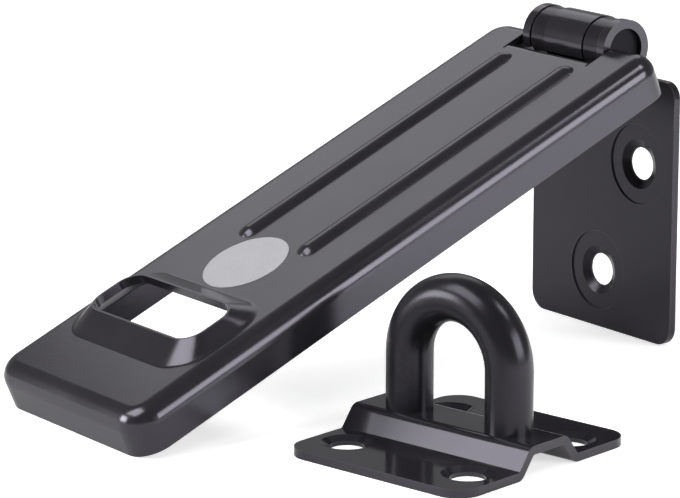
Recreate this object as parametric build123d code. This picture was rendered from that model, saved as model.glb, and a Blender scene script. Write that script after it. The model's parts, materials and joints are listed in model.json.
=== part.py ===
from build123d import *
import os
from math import acos, asin, atan2, cos, degrees, hypot, radians, sin

# Fixed leaf, a flat plate screwed behind the arm
leaf_side_clearance = 1.1
leaf_height = 48.9
leaf_sheet = 1.4
leaf_foot_corner = 3.5
leaf_shoulder_corner = 3.0
leaf_screw_radius = 3.0
leaf_dish_radius = 7.4
leaf_dish_depth = 0.3
leaf_sink_radius = 4.6
leaf_sink_depth = 0.8
upper_screw_edge_distance = 9.6
upper_screw_height = 32.6
lower_screw_across = -0.7
lower_screw_height = 10.7
leaf_tab_lean = 11.5

# Hinge barrel and pin
pin_radius = 3.7
pin_recess = 1.0
pin_hold_clearance = 0.01
pin_running_clearance = 0.05
barrel_length = 22.6
middle_knuckle_length = 10.4
leaf_knuckle_length = 3.7
knuckle_side_play = 0.25
roll_seam_gap = 0.4
shoulder_clearance = 0.35

# Swinging arm, a shallow pressed tray turned upside down
arm_sheet = 1.6
arm_width = 44.4
arm_reach = 124.0
tray_depth = 7.95
top_above_axis = 2.05
edge_bend_radius = 3.3
free_corner_radius = 5.2
hinge_end_setback = 1.0
hinge_corner_radius = 4.6
closing_gap = 0.1
tab_dip = 39.0
crease_inner_radius = 0.5
tab_side_relief = 0.5
notch_ahead_of_crease = 1.2
slot_behind_crease = 2.4

# Collar pressed up round the slot for the staple
collar_from_free_end = 13.3
collar_side_margin = 0.9
collar_side_run = 2.3
collar_front_run = 4.7
collar_far_run = 4.0
collar_rim = 0.4
collar_corner = 6.2
collar_top_corner = 4.0
collar_height = 2.5
collar_foot_round = 1.2
slot_corner = 3.6
slot_end_clearance = 0.6
slot_side_clearance = 1.45

# Stiffening ribs pressed up along the arm
rib_spacing = 17.3
rib_width = 4.4
rib_height = 0.95
rib_from_notch = 1.1
rib_from_collar = 14.1

# Staple plate with a raised channel across its middle
staple_length = 38.3
staple_width = 43.8
staple_sheet = 1.5
staple_corner = 4.4
channel_height = 5.2
channel_roof_width = 9.2
channel_foot_width = 15.0
channel_inner_bend = 0.4
staple_screw_spacing = 26.0
staple_screw_radius = 3.0
staple_dish_radius = 4.4
staple_dish_depth = 0.8

# Staple loop, a bent round bar riveted through the channel
bar_diameter = 8.0
loop_top_height = 29.7
tenon_radius = 2.75
tenon_clearance = 0.05
rivet_head_radius = 3.2
rivet_head_height = 1.4

# Where the loose staple lies beside the hasp
staple_across = 46.3
staple_ahead = 71.9
staple_turn = 11.1

# Lengths that tools run past the faces they cut
past = 6.0

# Places worked out from the sizes above
arm_bore = pin_radius + pin_running_clearance
arm_roll = arm_bore + arm_sheet
leaf_bore = pin_radius + pin_hold_clearance
leaf_roll = leaf_bore + leaf_sheet
half_leaf = leaf_height / 2
axis_height = half_leaf + arm_roll + shoulder_clearance
axis_ahead = tray_depth - top_above_axis + closing_gap
edge_below_axis = tray_depth - top_above_axis
axis_above_floor = axis_height + half_leaf
rest_tilt = degrees(asin(axis_above_floor / hypot(arm_reach, edge_below_axis)))
rest_tilt = rest_tilt - degrees(atan2(edge_below_axis, arm_reach))
leaf_width = arm_width - 2 * (arm_sheet + leaf_side_clearance)
upper_screw_across = leaf_width / 2 - upper_screw_edge_distance
collar_length = arm_width - 2 * (edge_bend_radius + collar_side_margin)
collar_top_length = collar_length - 2 * collar_side_run
slot_length = collar_top_length - 2 * collar_rim
slot_width = bar_diameter + 2 * slot_side_clearance
collar_top_width = slot_width + 2 * collar_rim
collar_width = collar_top_width + collar_front_run + collar_far_run
collar_from_axis = arm_reach - collar_from_free_end - collar_width / 2
collar_top_from_axis = arm_reach - collar_from_free_end - collar_front_run - collar_top_width / 2
leg_spacing = slot_length - 2 * slot_end_clearance - bar_diameter
leave = tab_dip - 90
top_run = (top_above_axis - arm_bore * sin(radians(leave))) / cos(radians(leave))
crease_top = arm_bore * cos(radians(leave)) - top_run * sin(radians(leave))
under_run = (top_above_axis - arm_sheet - arm_roll * sin(radians(leave))) / cos(radians(leave))
crease_under = arm_roll * cos(radians(leave)) - under_run * sin(radians(leave))
notch_front = crease_top + notch_ahead_of_crease
rib_start = notch_front + rib_from_notch
rib_finish = collar_from_axis - collar_width / 2 - rib_from_collar
knuckle_slot_inner = middle_knuckle_length / 2
knuckle_slot_outer = knuckle_slot_inner + leaf_knuckle_length + 2 * knuckle_side_play


def polar(radius, angle):
    """Point at an angle on a circle round the hinge axis."""
    return (radius * cos(radians(angle)), radius * sin(radians(angle)))


def rolled(bore, roll, start, lead_inner, lead_outer):
    """Section of a sheet that runs in along a tangent and rolls round the pin."""
    seam = degrees(acos((bore - roll_seam_gap) / roll))
    finish = start + 360 - seam
    middle = (start + finish) / 2
    edges = [
        ThreePointArc(polar(bore, start), polar(bore, middle), polar(bore, finish)),
        Line(polar(bore, finish), polar(roll, finish)),
        ThreePointArc(polar(roll, finish), polar(roll, middle), polar(roll, start)),
        Polyline(polar(roll, start), *lead_outer, *reversed(lead_inner), polar(bore, start)),
    ]
    return make_face(edges)


def across(section, start, length):
    """Section of the hinge swept along the hinge axis from a start."""
    return Pos(start, 0, 0) * extrude(Plane.YZ * section, length)


def tray_form(inset):
    """Block with the tray's outer form, or its hollow when inset by the sheet."""
    length = arm_reach - hinge_end_setback
    plan = Pos(0, -hinge_end_setback - length / 2) * Rectangle(arm_width - 2 * inset, length - 2 * inset)
    plan = fillet(plan.vertices().group_by(Axis.Y)[0], free_corner_radius - inset)
    plan = fillet(plan.vertices().group_by(Axis.Y)[-1], hinge_corner_radius - inset)
    crown = top_above_axis - inset
    block = Pos(0, 0, -edge_below_axis - inset) * extrude(plan, crown + edge_below_axis + inset)
    rim = block.faces().sort_by(Axis.Z)[-1].edges()
    return fillet(rim, edge_bend_radius - inset)


def collar_form():
    """Mound of the collar, standing on the arm's top."""
    foot = Pos(0, -collar_from_axis, top_above_axis) * RectangleRounded(
        collar_length, collar_width, collar_corner
    )
    crown = Pos(0, -collar_top_from_axis, top_above_axis + collar_height) * RectangleRounded(
        collar_top_length, collar_top_width, collar_top_corner
    )
    return loft([foot, crown], ruled=True)


def rib_form():
    """Pair of long ribs with rounded ends, buried so that only their crowns stand out."""
    radius = (rib_width**2 / 4 + rib_height**2) / (2 * rib_height)
    level = top_above_axis + rib_height - radius
    bar = Pos(0, -(rib_start + rib_finish) / 2, level) * Rot(90, 0, 0) * Cylinder(
        radius, rib_finish - rib_start - rib_width
    )
    for tip in (rib_start + rib_width / 2, rib_finish - rib_width / 2):
        bar += Pos(0, -tip, level) * Sphere(radius)
    return [Pos(side * rib_spacing / 2, 0, 0) * bar for side in (-1, 1)]


# Leaf plate with its screw holes and shallow dishes
plate = make_face(Polyline(
    (-leaf_width / 2, -half_leaf),
    (leaf_width / 2, -half_leaf),
    (leaf_width / 2, half_leaf),
    (-leaf_width / 2, half_leaf),
    close=True,
))
plate = fillet(plate.vertices().group_by(Axis.Y)[0], leaf_foot_corner)
plate = fillet(plate.vertices().group_by(Axis.Y)[-1], leaf_shoulder_corner)
leaf = extrude(Plane.XZ * plate, leaf_sheet)
for reach, height in (
    (upper_screw_across, upper_screw_height),
    (lower_screw_across, lower_screw_height),
):
    place = Pos(reach, -leaf_sheet, height - half_leaf) * Rot(90, 0, 0)
    leaf -= place * Cylinder(leaf_screw_radius, 2 * past)
    leaf -= place * Cylinder(leaf_dish_radius, 2 * leaf_dish_depth)
    leaf -= place * Pos(0, 0, -leaf_dish_depth) * Cone(
        leaf_screw_radius, leaf_sink_radius, leaf_sink_depth, align=(Align.CENTER, Align.CENTER, Align.MAX)
    )

# Leaf tabs that lean forward and roll over the pin from behind
lean_sine = sin(radians(leaf_tab_lean))
lean_cosine = cos(radians(leaf_tab_lean))
front_run = (leaf_bore * lean_cosine - axis_ahead + leaf_sheet) / lean_sine
back_run = (leaf_roll * lean_cosine - axis_ahead) / lean_sine
front_bend = leaf_bore * lean_sine + front_run * lean_cosine
back_bend = leaf_roll * lean_sine + back_run * lean_cosine
tab_root = half_leaf - axis_height - past
leaf_section = rolled(
    leaf_bore,
    leaf_roll,
    leaf_tab_lean,
    [(axis_ahead - leaf_sheet, front_bend), (axis_ahead - leaf_sheet, tab_root)],
    [(axis_ahead, back_bend), (axis_ahead, tab_root)],
)
leaf_section = Pos(-axis_ahead, axis_height) * leaf_section
for start in (-knuckle_slot_outer, knuckle_slot_inner):
    leaf += across(leaf_section, start + knuckle_side_play, leaf_knuckle_length)

# Hinge pin held in the leaf's knuckles
pin = Rot(0, 90, 0) * Cylinder(pin_radius, barrel_length - 2 * pin_recess)
pin = Pos(0, -axis_ahead, axis_height) * pin

# Arm tray with its edges bent down all round
arm = tray_form(0) - tray_form(arm_sheet)

# Collar and ribs pressed up out of the top, hollow beneath
arm += collar_form()
foot_edges = arm.edges().filter_by_position(Axis.Z, top_above_axis, top_above_axis)
foot_edges = foot_edges.filter_by_position(
    Axis.Y, -collar_from_axis - collar_width / 2, -collar_from_axis + collar_width / 2
)
foot_edges = foot_edges.filter_by_position(Axis.X, -collar_length / 2, collar_length / 2)
arm = fillet(foot_edges, collar_foot_round)
arm -= Pos(0, 0, -arm_sheet) * collar_form()
above_top = Pos(0, -arm_reach / 2, top_above_axis) * Box(
    arm_width, arm_reach, tray_depth, align=(Align.CENTER, Align.CENTER, Align.MIN)
)
above_hollow = Pos(0, 0, -arm_sheet - tray_depth / 2) * above_top
for rib in rib_form():
    arm += rib & above_top
    arm -= (Pos(0, 0, -arm_sheet) * rib) & above_hollow
slot = Pos(0, -collar_top_from_axis, 0) * RectangleRounded(slot_length, slot_width, slot_corner)
arm -= Pos(0, 0, -tray_depth) * extrude(slot, 2 * tray_depth + collar_height)

# Arm tab, creased down from the top and rolled up round the far side of the pin
tab_join = notch_front + arm_sheet
arm_section = rolled(
    arm_bore,
    arm_roll,
    -180 - leave,
    [(-crease_top, top_above_axis), (-tab_join, top_above_axis)],
    [(-crease_under, top_above_axis - arm_sheet), (-tab_join, top_above_axis - arm_sheet)],
)
crease = arm_section.vertices().sort_by_distance((-crease_top, top_above_axis, 0))[0]
arm_section = fillet(crease, crease_inner_radius + arm_sheet)
crease = arm_section.vertices().sort_by_distance((-crease_under, top_above_axis - arm_sheet, 0))[0]
arm_section = fillet(crease, crease_inner_radius)
tab = across(arm_section, -barrel_length / 2, barrel_length)
knuckle_slot = Box(
    knuckle_slot_outer - knuckle_slot_inner,
    2 * past + crease_top,
    2 * (arm_roll + past),
    align=(Align.MIN, Align.MIN, Align.CENTER),
)
for start in (-knuckle_slot_outer, knuckle_slot_inner):
    tab -= Pos(start, slot_behind_crease - crease_top, 0) * knuckle_slot
arm -= Box(
    barrel_length + 2 * tab_side_relief,
    2 * notch_front,
    2 * (tray_depth + past),
)
arm += tab
arm = Pos(0, -axis_ahead, axis_height) * Rot(rest_tilt, 0, 0) * arm

# Staple plate pressed to a hat section, with dished screw holes
roof_half = channel_roof_width / 2
foot_half = channel_foot_width / 2
rise = channel_height - staple_sheet
wall_lean = (foot_half - roof_half) / rise
wall_across = staple_sheet * hypot(1, wall_lean)
under_foot = foot_half + staple_sheet * wall_lean - wall_across
under_roof = roof_half + staple_sheet * wall_lean - wall_across
edge_half = staple_width / 2
hat = make_face(Polyline(
    (-edge_half, staple_sheet),
    (-foot_half, staple_sheet),
    (-roof_half, channel_height),
    (roof_half, channel_height),
    (foot_half, staple_sheet),
    (edge_half, staple_sheet),
    (edge_half, 0),
    (under_foot, 0),
    (under_roof, rise),
    (-under_roof, rise),
    (-under_foot, 0),
    (-edge_half, 0),
    close=True,
))
outer_bend = channel_inner_bend + staple_sheet
for corner, bend in (
    ((roof_half, channel_height), outer_bend),
    ((foot_half, staple_sheet), channel_inner_bend),
    ((under_roof, rise), channel_inner_bend),
    ((under_foot, 0), outer_bend),
):
    for side in (-1, 1):
        hat = fillet(hat.vertices().sort_by_distance((side * corner[0], corner[1], 0))[0], bend)
staple_plate = across(hat, -staple_length / 2, staple_length)
staple_plate &= extrude(RectangleRounded(staple_length, staple_width, staple_corner), channel_height)
for along in (-staple_screw_spacing / 2, staple_screw_spacing / 2):
    for aside in (-staple_screw_spacing / 2, staple_screw_spacing / 2):
        staple_plate -= Pos(along, aside, 0) * Cylinder(staple_screw_radius, 2 * past)
        staple_plate -= Pos(along, aside, staple_sheet) * Cone(
            staple_screw_radius,
            staple_dish_radius,
            staple_dish_depth,
            align=(Align.CENTER, Align.CENTER, Align.MAX),
        )

# Staple loop on two legs, each with a tenon and a rivet head under the roof
bar_radius = bar_diameter / 2
arch_radius = leg_spacing / 2
arch_height = loop_top_height - bar_radius - arch_radius
foot_left = (-arch_radius, 0, channel_height)
foot_right = (arch_radius, 0, channel_height)
spring_left = (-arch_radius, 0, arch_height)
spring_right = (arch_radius, 0, arch_height)
route = Line(foot_left, spring_left)
route += ThreePointArc(spring_left, (0, 0, arch_height + arch_radius), spring_right)
route += Line(spring_right, foot_right)
staple_loop = sweep(Pos(*foot_left) * Circle(bar_radius), route)
hanging = (Align.CENTER, Align.CENTER, Align.MAX)
for along in (-arch_radius, arch_radius):
    staple_plate -= Pos(along, 0, channel_height) * Cylinder(tenon_radius + tenon_clearance, 2 * staple_sheet)
    staple_loop += Pos(along, 0, channel_height) * Cylinder(tenon_radius, staple_sheet, align=hanging)
    staple_loop += Pos(along, 0, rise) * Cylinder(rivet_head_radius, rivet_head_height, align=hanging)
beside = Pos(staple_across, -staple_ahead, -half_leaf) * Rot(0, 0, staple_turn)
staple_plate = beside * staple_plate
staple_loop = beside * staple_loop

os.makedirs("parts", exist_ok=True)
export_step(leaf, "parts/hinge_leaf.step")
export_step(pin, "parts/hinge_pin.step")
export_step(arm, "parts/hasp_arm.step")
export_step(staple_plate, "parts/staple_plate.step")
export_step(staple_loop, "parts/staple_loop.step")
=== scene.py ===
import json
from math import cos, pi, radians, sin

import bpy
from bpy.props import FloatProperty, FloatVectorProperty, PointerProperty
from mathutils import Matrix, Vector


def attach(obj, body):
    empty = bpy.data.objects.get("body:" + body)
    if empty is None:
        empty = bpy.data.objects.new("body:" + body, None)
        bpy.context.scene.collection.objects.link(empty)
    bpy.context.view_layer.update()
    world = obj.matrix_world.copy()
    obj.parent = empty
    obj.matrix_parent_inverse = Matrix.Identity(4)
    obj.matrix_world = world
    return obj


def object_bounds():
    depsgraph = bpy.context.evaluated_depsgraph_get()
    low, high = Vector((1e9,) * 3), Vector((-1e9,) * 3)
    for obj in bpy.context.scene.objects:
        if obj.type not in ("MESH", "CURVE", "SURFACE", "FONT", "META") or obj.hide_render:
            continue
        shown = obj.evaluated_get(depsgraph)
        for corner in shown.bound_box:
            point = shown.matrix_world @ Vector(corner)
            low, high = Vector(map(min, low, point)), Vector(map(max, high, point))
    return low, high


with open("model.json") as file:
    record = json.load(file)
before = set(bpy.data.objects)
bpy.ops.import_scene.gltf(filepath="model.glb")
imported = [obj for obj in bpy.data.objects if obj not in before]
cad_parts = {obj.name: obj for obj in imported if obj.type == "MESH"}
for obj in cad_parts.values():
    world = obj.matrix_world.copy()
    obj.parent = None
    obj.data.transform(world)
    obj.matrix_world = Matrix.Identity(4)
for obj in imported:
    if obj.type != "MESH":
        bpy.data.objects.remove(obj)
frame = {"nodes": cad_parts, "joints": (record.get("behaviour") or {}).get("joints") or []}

bl_info = {
    "name": "Hasp and Staple",
    "version": (1, 0, 0),
    "blender": (4, 5, 0),
    "location": "View3D > Sidebar > Hasp",
    "description": "Finishes a pressed steel hasp and its staple and sets them on a studio floor",
    "category": "Object",
}

CAD_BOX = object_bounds()
SWING = frame["joints"][0]
HINGE = Vector(SWING["pos_m"])
REST_TILT = radians(90 - SWING["range_deg"][1])
ALONG_ARM = Vector((0, -cos(REST_TILT), -sin(REST_TILT)))
OFF_ARM = Vector((0, -sin(REST_TILT), cos(REST_TILT)))
FLOOR_LEVEL = CAD_BOX[0][2]
MILLIMETRE = 0.001
WHITE = (1, 1, 1, 1)

# Span of a noise texture that the finishes make use of
NOISE_LOW, NOISE_HIGH = 0.3, 0.7

# Enamel: cloudy tone, fine ripple and thin paint over edges, alike on every piece; the lighter
# colour over edges is partly a painted highlight
ENAMEL_GROUP = "Stoved enamel"
ENAMEL_IOR = 1.65
CLOUD_SCALE = 45.0
CLOUD_TONE = (0.88, 1.12)
CLOUD_ROUGHNESS = (-0.04, 0.04)
FINE_SCALE = 5200.0
FINE_SHARE = 0.25
RIPPLE_DEPTH = 0.05 * MILLIMETRE
EDGE_SAMPLES = 4
EDGE_BEGINS, EDGE_FULL = 0.98, 0.75
EDGE_COVER = 0.8
PATCH_LOW, PATCH_HIGH = 0.35, 0.65
PATCH_COVER = (0.25, 1.0)

# Silver disc: a thin print with a raised border, sunk a little into the arm's top
DISC_SIDES = 128
DISC_SUNK = 0.01 * MILLIMETRE
DISC_FACES_UP = 0.9
BORDER_WIDTH, BORDER_RISE = 0.3 * MILLIMETRE, 0.02 * MILLIMETRE
FIELD_SLOPE, FIELD_DROP = 0.15 * MILLIMETRE, -0.01 * MILLIMETRE
RIM_ROUND = 0.03 * MILLIMETRE
RIM_SEGMENTS = 2
RIM_ANGLE = radians(40)
SMOOTH_ANGLE = radians(35)
GRAIN_SCALE = 2600.0
GRAIN_TONE = (0.94, 1.04)
MOTTLE_SCALE = 180.0
MOTTLE_ROUGHNESS = (0.4, 0.52)
SILVER_METALLIC = 0.4

# Softboxes: name, direction from the aim, distance, width and height, radiance
LAMP_AIM = Vector((0.01, -0.06, -0.01))
SOFTBOXES = (
    ("left_softbox", (-0.685, 0.413, 0.6), 1.1, (0.75, 0.44), 0.99),
    ("right_softbox", (0.88, 0.36, 0.33), 0.5, (0.3, 0.22), 6.0),
    ("front_softbox", (-0.182, -0.588, 0.788), 0.9, (0.61, 0.48), 5.4),
    ("top_softbox", (0.4, 0.36, 0.84), 0.7, (0.2, 0.2), 6.0),
    ("low_softbox", (-0.5, -0.83, 0.24), 0.8, (0.34, 0.3), 10.8),
)

# Floor: glows in view, and in reflections it glows more toward the right
FLOOR_ROUGHNESS = 0.9
FLOOR_SPECULAR = 0.1
VIEW_GLOW = 0.62
MIRROR_GLOW = 1.15
MIRROR_SIDE = (1, 0.6, 0)
MIRROR_BEGINS, MIRROR_FULL = -0.02, 0.124

# Surroundings: a dim room, a lighter backdrop behind the object and a dark ceiling
BACKDROP_SIDE = (-0.8, 0.6, 0)
BACKDROP_BEGINS, BACKDROP_FULL = -0.2, 0.9
ROOM_LEVEL, BACKDROP_LEVEL, CEILING_LEVEL = 0.2, 0.29, 0.16
CEILING_BEGINS, CEILING_FULL = 0.2, 0.6

SENSOR_WIDTH = 36
CLIP_START = 0.01


class EnamelSettings(bpy.types.PropertyGroup):
    """Black enamel on the pressed steel and the bar."""

    paint: FloatVectorProperty(
        name="Paint", description="Colour of the black enamel", subtype="COLOR",
        size=4, min=0, max=1, default=(0.0145, 0.0135, 0.016, 1),
    )
    # Lighter colour over edges: thin enamel, and partly a painted highlight along the edges
    thin_edge_and_highlight: FloatVectorProperty(
        name="Thin edge and highlight", description="Colour where the enamel draws thin over an edge",
        subtype="COLOR", size=4, min=0, max=1, default=(0.045, 0.043, 0.048, 1),
    )
    edge_width: FloatProperty(
        name="Edge width", description="Reach of the thin enamel from an edge", unit="LENGTH",
        min=0, default=0.35 * MILLIMETRE,
    )
    gloss: FloatProperty(
        name="Roughness", description="Mean roughness of the enamel", subtype="FACTOR",
        min=0, max=1, default=0.2,
    )
    sheen: FloatVectorProperty(
        name="Sheen", description="Tint of the light that the enamel throws back", subtype="COLOR",
        size=4, min=0, max=1, default=(0.88, 0.84, 1, 1),
    )
    peel_size: FloatProperty(
        name="Peel size", description="Width of the enamel's fine ripples", unit="LENGTH",
        min=0.0001, default=0.9 * MILLIMETRE,
    )


class DiscSettings(bpy.types.PropertyGroup):
    """Plain silver disc on the arm."""

    radius: FloatProperty(
        name="Radius", description="Radius of the disc", unit="LENGTH",
        min=0.001, default=7.85 * MILLIMETRE,
    )
    thickness: FloatProperty(
        name="Thickness", description="Height of the disc above the arm's top", unit="LENGTH",
        min=0.00002, default=0.1 * MILLIMETRE,
    )
    from_hinge: FloatProperty(
        name="From hinge", description="Distance from the hinge pin along the arm", unit="LENGTH",
        min=0, default=81.8 * MILLIMETRE,
    )
    top_above_pin: FloatProperty(
        name="Top above pin", description="Height of the arm's top over the pin's axis",
        unit="LENGTH", default=2.05 * MILLIMETRE,
    )
    silver: FloatVectorProperty(
        name="Silver", description="Colour of the disc", subtype="COLOR",
        size=4, min=0, max=1, default=(0.5, 0.5, 0.53, 1),
    )


class StageSettings(bpy.types.PropertyGroup):
    """Floor and camera."""

    floor_colour: FloatVectorProperty(
        name="Floor", description="Colour of the floor", subtype="COLOR",
        size=4, min=0, max=1, default=(0.9, 0.9, 0.9, 1),
    )
    floor_size: FloatProperty(
        name="Floor size", description="Side of the square floor", unit="LENGTH",
        min=0.1, default=6,
    )
    azimuth: FloatProperty(
        name="Azimuth", description="Camera's turn round the object", subtype="ANGLE",
        default=radians(53.2642),
    )
    elevation: FloatProperty(
        name="Elevation", description="Camera's height over the object", subtype="ANGLE",
        default=radians(13.5571),
    )
    distance: FloatProperty(
        name="Distance", description="Distance from the camera to the point it looks at",
        unit="LENGTH", min=0.01, default=0.614144,
    )
    lens: FloatProperty(
        name="Lens", description="Focal length on a 36 mm sensor, in millimetres",
        min=10, default=188.929,
    )
    look_at: FloatVectorProperty(
        name="Look at", description="Point that the camera looks at", subtype="TRANSLATION",
        unit="LENGTH", default=(0.008775, -0.068247, 0.001696),
    )


def feed(group, value, socket):
    """Links a socket to another one, or sets it to a plain value."""
    if isinstance(value, bpy.types.NodeSocket):
        group.links.new(value, socket)
    else:
        socket.default_value = value


def new_group(name, inputs, outputs):
    """Starts a shader node group with named sockets and returns it with its two ends."""
    group = bpy.data.node_groups.new(name, "ShaderNodeTree")
    for in_out, sockets in (("INPUT", inputs), ("OUTPUT", outputs)):
        for label, kind in sockets:
            group.interface.new_socket(label, in_out=in_out, socket_type=kind)
    start = group.nodes.new("NodeGroupInput")
    end = group.nodes.new("NodeGroupOutput")
    start.location = (-900, 0)
    end.location = (500, 0)
    return group, start, end


def noise(group, coordinates, scale, detail, place):
    """Adds a noise texture that reads the piece's own coordinates."""
    node = group.nodes.new("ShaderNodeTexNoise")
    node.location = place
    node.inputs["Detail"].default_value = detail
    group.links.new(coordinates, node.inputs["Vector"])
    feed(group, scale, node.inputs["Scale"])
    return node.outputs["Fac"]


def remap(group, value, low, high, to_low, to_high, place):
    """Adds a map range node and returns its result."""
    node = group.nodes.new("ShaderNodeMapRange")
    node.location = place
    node.inputs["From Min"].default_value = low
    node.inputs["From Max"].default_value = high
    feed(group, to_low, node.inputs["To Min"])
    feed(group, to_high, node.inputs["To Max"])
    group.links.new(value, node.inputs["Value"])
    return node.outputs["Result"]


def arithmetic(group, operation, first, second, place):
    """Adds a math node and returns its value."""
    node = group.nodes.new("ShaderNodeMath")
    node.operation = operation
    node.location = place
    feed(group, first, node.inputs[0])
    feed(group, second, node.inputs[1])
    return node.outputs["Value"]


def dot_product(group, first, second, place):
    """Adds a dot product of two vectors and returns its value."""
    node = group.nodes.new("ShaderNodeVectorMath")
    node.operation = "DOT_PRODUCT"
    node.location = place
    feed(group, first, node.inputs[0])
    feed(group, second, node.inputs[1])
    return node.outputs["Value"]


def scale_colour(group, colour, factor, place):
    """Adds a node that makes a colour lighter or darker and returns the colour."""
    node = group.nodes.new("ShaderNodeVectorMath")
    node.operation = "SCALE"
    node.location = place
    feed(group, colour, node.inputs[0])
    group.links.new(factor, node.inputs["Scale"])
    return node.outputs[0]


def blend_colours(group, factor, first, second, place):
    """Adds a colour mix node and returns its colour."""
    node = group.nodes.new("ShaderNodeMix")
    node.data_type = "RGBA"
    node.location = place
    group.links.new(factor, node.inputs["Factor"])
    for label, value in (("A", first), ("B", second)):
        socket = next(s for s in node.inputs if s.name == label and s.type == "RGBA")
        group.links.new(value, socket)
    return next(s for s in node.outputs if s.type == "RGBA")


def enamel_group():
    """Colour, roughness and fine ripple of stoved enamel, thinner and lighter over edges; the
    lighter edges are partly a painted highlight.
    """
    if ENAMEL_GROUP in bpy.data.node_groups:
        return bpy.data.node_groups[ENAMEL_GROUP]
    group, start, end = new_group(
        ENAMEL_GROUP,
        [
            ("Paint", "NodeSocketColor"),
            ("Thin Edge And Highlight", "NodeSocketColor"),
            ("Edge Width", "NodeSocketFloat"),
            ("Roughness", "NodeSocketFloat"),
            ("Peel Scale", "NodeSocketFloat"),
        ],
        [
            ("Colour", "NodeSocketColor"),
            ("Roughness", "NodeSocketFloat"),
            ("Height", "NodeSocketFloat"),
        ],
    )
    given = start.outputs
    place = group.nodes.new("ShaderNodeTexCoord").outputs["Object"]
    cloud = noise(group, place, CLOUD_SCALE, 3.0, (-700, 300))
    peel = noise(group, place, given["Peel Scale"], 2.0, (-700, -140))
    fine = noise(group, place, FINE_SCALE, 1.0, (-700, -360))
    tone = remap(group, cloud, NOISE_LOW, NOISE_HIGH, *CLOUD_TONE, (-480, 300))
    toned = scale_colour(group, given["Paint"], tone, (-240, 300))
    rounded = group.nodes.new("ShaderNodeBevel")
    rounded.samples = EDGE_SAMPLES
    group.links.new(given["Edge Width"], rounded.inputs["Radius"])
    flat = group.nodes.new("ShaderNodeNewGeometry")
    # The two normals part where an edge is near
    meet = dot_product(group, rounded.outputs["Normal"], flat.outputs["Normal"], (-480, -500))
    edge = remap(group, meet, EDGE_BEGINS, EDGE_FULL, 0.0, EDGE_COVER, (-240, -500))
    patch = remap(group, cloud, PATCH_LOW, PATCH_HIGH, *PATCH_COVER, (-240, -700))
    # Lighter edge colour in patches: thin enamel, and partly a painted highlight along edges
    thin_edge_and_highlight_mask = arithmetic(group, "MULTIPLY", edge, patch, (0, -560))
    colour = blend_colours(group, thin_edge_and_highlight_mask, toned, given["Thin Edge And Highlight"], (200, 180))
    spread = remap(group, cloud, NOISE_LOW, NOISE_HIGH, *CLOUD_ROUGHNESS, (-240, 0))
    rough = arithmetic(group, "ADD", given["Roughness"], spread, (0, 0))
    ripple = arithmetic(group, "MULTIPLY", fine, FINE_SHARE, (-240, -330))
    height = arithmetic(group, "ADD", peel, ripple, (0, -300))
    group.links.new(colour, end.inputs["Colour"])
    group.links.new(rough, end.inputs["Roughness"])
    group.links.new(height, end.inputs["Height"])
    return group


def enamel(name, settings, roughness, tint, specular, ripple, edge=1.0):
    """Makes one piece's enamel from the shared group."""
    material = bpy.data.materials.new(name)
    material.use_nodes = True
    nodes, links = material.node_tree.nodes, material.node_tree.links
    shader = nodes["Principled BSDF"]
    coat = nodes.new("ShaderNodeGroup")
    coat.node_tree = enamel_group()
    coat.location = (-500, 200)
    coat.inputs["Paint"].default_value = [c * t for c, t in zip(settings.paint, tint)] + [1]
    # Edge colour, scaled per piece by edge: thin enamel and partly a painted highlight
    coat.inputs["Thin Edge And Highlight"].default_value = [c * edge for c in settings.thin_edge_and_highlight[:3]] + [1]
    coat.inputs["Edge Width"].default_value = settings.edge_width
    coat.inputs["Roughness"].default_value = roughness
    coat.inputs["Peel Scale"].default_value = 1 / settings.peel_size
    bump = nodes.new("ShaderNodeBump")
    bump.location = (-220, -200)
    bump.inputs["Strength"].default_value = ripple
    bump.inputs["Distance"].default_value = RIPPLE_DEPTH
    links.new(coat.outputs["Colour"], shader.inputs["Base Color"])
    links.new(coat.outputs["Roughness"], shader.inputs["Roughness"])
    links.new(coat.outputs["Height"], bump.inputs["Height"])
    links.new(bump.outputs["Normal"], shader.inputs["Normal"])
    shader.inputs["IOR"].default_value = ENAMEL_IOR
    shader.inputs["Specular IOR Level"].default_value = specular
    shader.inputs["Specular Tint"].default_value = settings.sheen
    return material


def finish_node(name, material):
    """Puts a finish in the material slots of a solid."""
    node = frame["nodes"][name]
    if not node.data.materials:
        node.data.materials.append(material)
    for index in range(len(node.data.materials)):
        node.data.materials[index] = material


class HASP_OT_finish_arm(bpy.types.Operator):
    """Enamels the swinging arm"""

    bl_idname = "hasp.finish_arm"
    bl_label = "Finish Arm"

    def execute(self, context):
        settings = context.scene.hasp_enamel
        finish_node("hasp_arm", enamel(
            "arm_enamel", settings, roughness=settings.gloss,
            tint=(1, 1, 1), specular=0.5, ripple=0.12,
        ))
        return {"FINISHED"}


class HASP_OT_finish_hinge(bpy.types.Operator):
    """Enamels the fixed leaf and darkens the pin: blackened steel, darkened further as painted
    shade inside the barrel's bore
    """

    bl_idname = "hasp.finish_hinge"
    bl_label = "Finish Leaf and Pin"

    def execute(self, context):
        settings = context.scene.hasp_enamel
        # edge=2.4 makes the leaf's lighter edges stronger, more painted highlight along them
        finish_node("hinge_leaf", enamel(
            "leaf_enamel", settings, roughness=settings.gloss,
            tint=(1.03, 0.92, 0.95), specular=0.28, ripple=0.12, edge=2.4,
        ))
        # Pin: enamel at half the paint's colour with little sheen, blackened steel and partly
        # painted shade for the dark bore round its end
        finish_node("hinge_pin", enamel(
            "pin_black_painted_shade", settings, roughness=settings.gloss + 0.25,
            tint=(0.5, 0.5, 0.5), specular=0.08, ripple=0.05,
        ))
        return {"FINISHED"}


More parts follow.
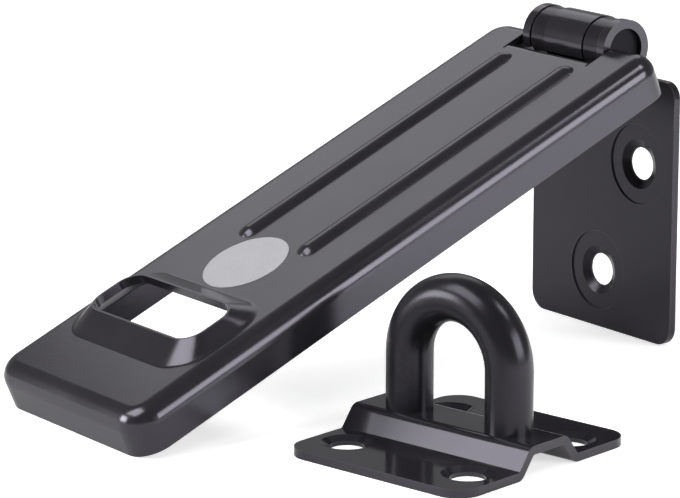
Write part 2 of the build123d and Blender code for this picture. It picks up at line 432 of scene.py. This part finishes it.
class HASP_OT_finish_staple(bpy.types.Operator):
    """Enamels the staple's plate and loop"""

    bl_idname = "hasp.finish_staple"
    bl_label = "Finish Staple"

    def execute(self, context):
        settings = context.scene.hasp_enamel
        # Plate: the same black enamel lightened by 1.3 as painted light on its flats; edge=1.6
        # makes its lighter edges stronger, thin enamel and partly painted highlight
        finish_node("staple_plate", enamel(
            "plate_enamel_painted_light", settings, roughness=settings.gloss - 0.09,
            tint=(1.3, 1.3, 1.3), specular=0.39, ripple=0.02, edge=1.6,
        ))
        finish_node("staple_loop", enamel(
            "loop_enamel", settings, roughness=settings.gloss + 0.06,
            tint=(0.8, 0.8, 0.8), specular=0.24, ripple=0.08,
        ))
        return {"FINISHED"}


class HASP_OT_add_disc(bpy.types.Operator):
    """Lays a plain silver disc on the arm between its collar and ribs"""

    bl_idname = "hasp.add_disc"
    bl_label = "Add Silver Disc"

    def execute(self, context):
        settings = context.scene.hasp_disc
        bpy.ops.object.select_all(action="DESELECT")
        level = settings.top_above_pin + settings.thickness / 2 - DISC_SUNK
        centre = HINGE + ALONG_ARM * settings.from_hinge + OFF_ARM * level
        bpy.ops.mesh.primitive_cylinder_add(
            vertices=DISC_SIDES, radius=settings.radius, depth=settings.thickness + 2 * DISC_SUNK,
            end_fill_type="NGON", location=centre, rotation=(REST_TILT, 0, 0),
        )
        disc = context.object
        disc.name = "silver_disc"
        disc.data.name = "silver_disc"
        bpy.ops.object.transform_apply(location=True, rotation=True, scale=True)
        bpy.ops.object.mode_set(mode="EDIT")
        bpy.ops.mesh.select_mode(type="FACE")
        bpy.ops.mesh.select_all(action="DESELECT")
        bpy.ops.object.mode_set(mode="OBJECT")
        for face in disc.data.polygons:
            face.select = face.normal.dot(OFF_ARM) > DISC_FACES_UP
        bpy.ops.object.mode_set(mode="EDIT")
        bpy.ops.mesh.inset(thickness=BORDER_WIDTH, depth=BORDER_RISE)
        bpy.ops.mesh.inset(thickness=FIELD_SLOPE, depth=FIELD_DROP)
        bpy.ops.object.mode_set(mode="OBJECT")
        rim = disc.modifiers.new("rim", "BEVEL")
        rim.width = RIM_ROUND
        rim.segments = RIM_SEGMENTS
        rim.angle_limit = RIM_ANGLE
        bpy.ops.object.modifier_apply(modifier=rim.name)
        bpy.ops.object.shade_smooth_by_angle(angle=SMOOTH_ANGLE)
        disc.data.materials.append(self.silver_finish(settings))
        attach(disc, "arm")
        return {"FINISHED"}

    def silver_finish(self, settings):
        """Makes the disc's grainy silver print."""
        material = bpy.data.materials.new("silver_print")
        material.use_nodes = True
        tree = material.node_tree
        shader = tree.nodes["Principled BSDF"]
        place = tree.nodes.new("ShaderNodeTexCoord").outputs["Object"]
        grain = noise(tree, place, GRAIN_SCALE, 2.0, (-600, 0))
        mottle = noise(tree, place, MOTTLE_SCALE, 2.0, (-600, -250))
        tone = remap(tree, grain, NOISE_LOW, NOISE_HIGH, *GRAIN_TONE, (-380, 0))
        rough = remap(tree, mottle, NOISE_LOW, NOISE_HIGH, *MOTTLE_ROUGHNESS, (-380, -250))
        toned = scale_colour(tree, settings.silver[:3], tone, (-180, 0))
        tree.links.new(toned, shader.inputs["Base Color"])
        tree.links.new(rough, shader.inputs["Roughness"])
        shader.inputs["Metallic"].default_value = SILVER_METALLIC
        return material


class HASP_OT_build_stage(bpy.types.Operator):
    """Lays the floor and sets the lamps, the surroundings and the camera"""

    bl_idname = "hasp.build_stage"
    bl_label = "Build Stage"

    def execute(self, context):
        settings = context.scene.hasp_stage
        self.lay_floor(context, settings)
        for softbox in SOFTBOXES:
            self.hang_lamp(context, *softbox)
        self.set_surroundings(context)
        self.set_camera(context, settings)
        return {"FINISHED"}

    def lay_floor(self, context, settings):
        """Lays a white floor that keeps the object's shadow."""
        bpy.ops.object.select_all(action="DESELECT")
        bpy.ops.mesh.primitive_plane_add(size=settings.floor_size, location=(0, 0, FLOOR_LEVEL))
        floor = context.object
        floor.name = "floor"
        material = bpy.data.materials.new("floor_white")
        material.use_nodes = True
        tree = material.node_tree
        nodes, links = tree.nodes, tree.links
        shader = nodes["Principled BSDF"]
        shader.inputs["Base Color"].default_value = settings.floor_colour
        shader.inputs["Roughness"].default_value = FLOOR_ROUGHNESS
        shader.inputs["Specular IOR Level"].default_value = FLOOR_SPECULAR
        path = nodes.new("ShaderNodeLightPath").outputs
        place = nodes.new("ShaderNodeTexCoord").outputs["Object"]
        seen = arithmetic(tree, "MULTIPLY", path["Is Camera Ray"], VIEW_GLOW, (-500, 300))
        rightward = dot_product(tree, place, MIRROR_SIDE, (-900, 0))
        level = remap(tree, rightward, MIRROR_BEGINS, MIRROR_FULL, 0.0, MIRROR_GLOW, (-700, 0))
        mirrored = arithmetic(tree, "MULTIPLY", path["Is Glossy Ray"], level, (-500, 100))
        strength = arithmetic(tree, "ADD", seen, mirrored, (-300, 200))
        glow = nodes.new("ShaderNodeEmission")
        glow.inputs["Color"].default_value = WHITE
        links.new(strength, glow.inputs["Strength"])
        both = nodes.new("ShaderNodeAddShader")
        links.new(shader.outputs[0], both.inputs[0])
        links.new(glow.outputs[0], both.inputs[1])
        links.new(both.outputs[0], nodes["Material Output"].inputs["Surface"])
        floor.data.materials.append(material)

    def hang_lamp(self, context, name, direction, distance, size, radiance):
        """Hangs a softbox of an even radiance that faces the aim."""
        place = LAMP_AIM + Vector(direction).normalized() * distance
        turn = (place - LAMP_AIM).to_track_quat("Z", "Y").to_euler()
        bpy.ops.object.light_add(type="AREA", location=place, rotation=turn)
        lamp = context.object
        lamp.name = name
        lamp.data.shape = "RECTANGLE"
        lamp.data.size, lamp.data.size_y = size
        lamp.data.energy = radiance * size[0] * size[1] * pi

    def set_surroundings(self, context):
        """Sets the even light of the studio round the object."""
        world = bpy.data.worlds.new("studio")
        context.scene.world = world
        world.use_nodes = True
        tree = world.node_tree
        nodes, links = tree.nodes, tree.links
        place = nodes.new("ShaderNodeTexCoord").outputs["Generated"]
        split = nodes.new("ShaderNodeSeparateXYZ")
        links.new(place, split.inputs[0])
        behind = dot_product(tree, place, BACKDROP_SIDE, (-700, 200))
        backdrop = remap(
            tree, behind, BACKDROP_BEGINS, BACKDROP_FULL, ROOM_LEVEL, BACKDROP_LEVEL, (-500, 200),
        )
        level = remap(
            tree, split.outputs["Z"], CEILING_BEGINS, CEILING_FULL, backdrop, CEILING_LEVEL,
            (-300, 0),
        )
        links.new(level, nodes["Background"].inputs["Strength"])
        nodes["Background"].inputs["Color"].default_value = WHITE

    def set_camera(self, context, settings):
        """Sets the camera where the photo was taken from."""
        azimuth, elevation = settings.azimuth, settings.elevation
        level = cos(elevation)
        right = Vector((cos(azimuth), sin(azimuth), 0))
        back = Vector((sin(azimuth) * level, -cos(azimuth) * level, sin(elevation)))
        up = back.cross(right)
        place = Vector(settings.look_at) + back * settings.distance
        turn = Matrix((right, up, back)).transposed()
        bpy.ops.object.camera_add(location=place, rotation=turn.to_euler())
        camera = context.object
        camera.name = "photo_camera"
        camera.data.lens = settings.lens
        camera.data.sensor_width = SENSOR_WIDTH
        camera.data.clip_start = CLIP_START
        context.scene.camera = camera
        context.scene.view_settings.view_transform = "Standard"


class HASP_PT_pieces(bpy.types.Panel):
    """Lists the hasp's pieces and their settings"""

    bl_idname = "HASP_PT_pieces"
    bl_label = "Hasp and Staple"
    bl_space_type = "VIEW_3D"
    bl_region_type = "UI"
    bl_category = "Hasp"

    def draw(self, context):
        scene = context.scene
        for settings, kind, operators in (
            (scene.hasp_enamel, EnamelSettings, ("finish_arm", "finish_hinge", "finish_staple")),
            (scene.hasp_disc, DiscSettings, ("add_disc",)),
            (scene.hasp_stage, StageSettings, ("build_stage",)),
        ):
            box = self.layout.box()
            for label in kind.__annotations__:
                box.prop(settings, label)
            for operator in operators:
                box.operator("hasp." + operator)


CLASSES = (
    EnamelSettings,
    DiscSettings,
    StageSettings,
    HASP_OT_finish_arm,
    HASP_OT_finish_hinge,
    HASP_OT_finish_staple,
    HASP_OT_add_disc,
    HASP_OT_build_stage,
    HASP_PT_pieces,
)


def register():
    """Adds the operators, the panel and the settings to Blender."""
    for item in CLASSES:
        bpy.utils.register_class(item)
    bpy.types.Scene.hasp_enamel = PointerProperty(type=EnamelSettings)
    bpy.types.Scene.hasp_disc = PointerProperty(type=DiscSettings)
    bpy.types.Scene.hasp_stage = PointerProperty(type=StageSettings)


def unregister():
    """Takes them out again."""
    del bpy.types.Scene.hasp_stage
    del bpy.types.Scene.hasp_disc
    del bpy.types.Scene.hasp_enamel
    for item in reversed(CLASSES):
        bpy.utils.unregister_class(item)


def main():
    """Finishes every piece and builds the stage."""
    register()
    bpy.ops.hasp.finish_arm()
    bpy.ops.hasp.finish_hinge()
    bpy.ops.hasp.finish_staple()
    bpy.ops.hasp.add_disc()
    bpy.ops.hasp.build_stage()


if __name__ == "__main__":
    main()
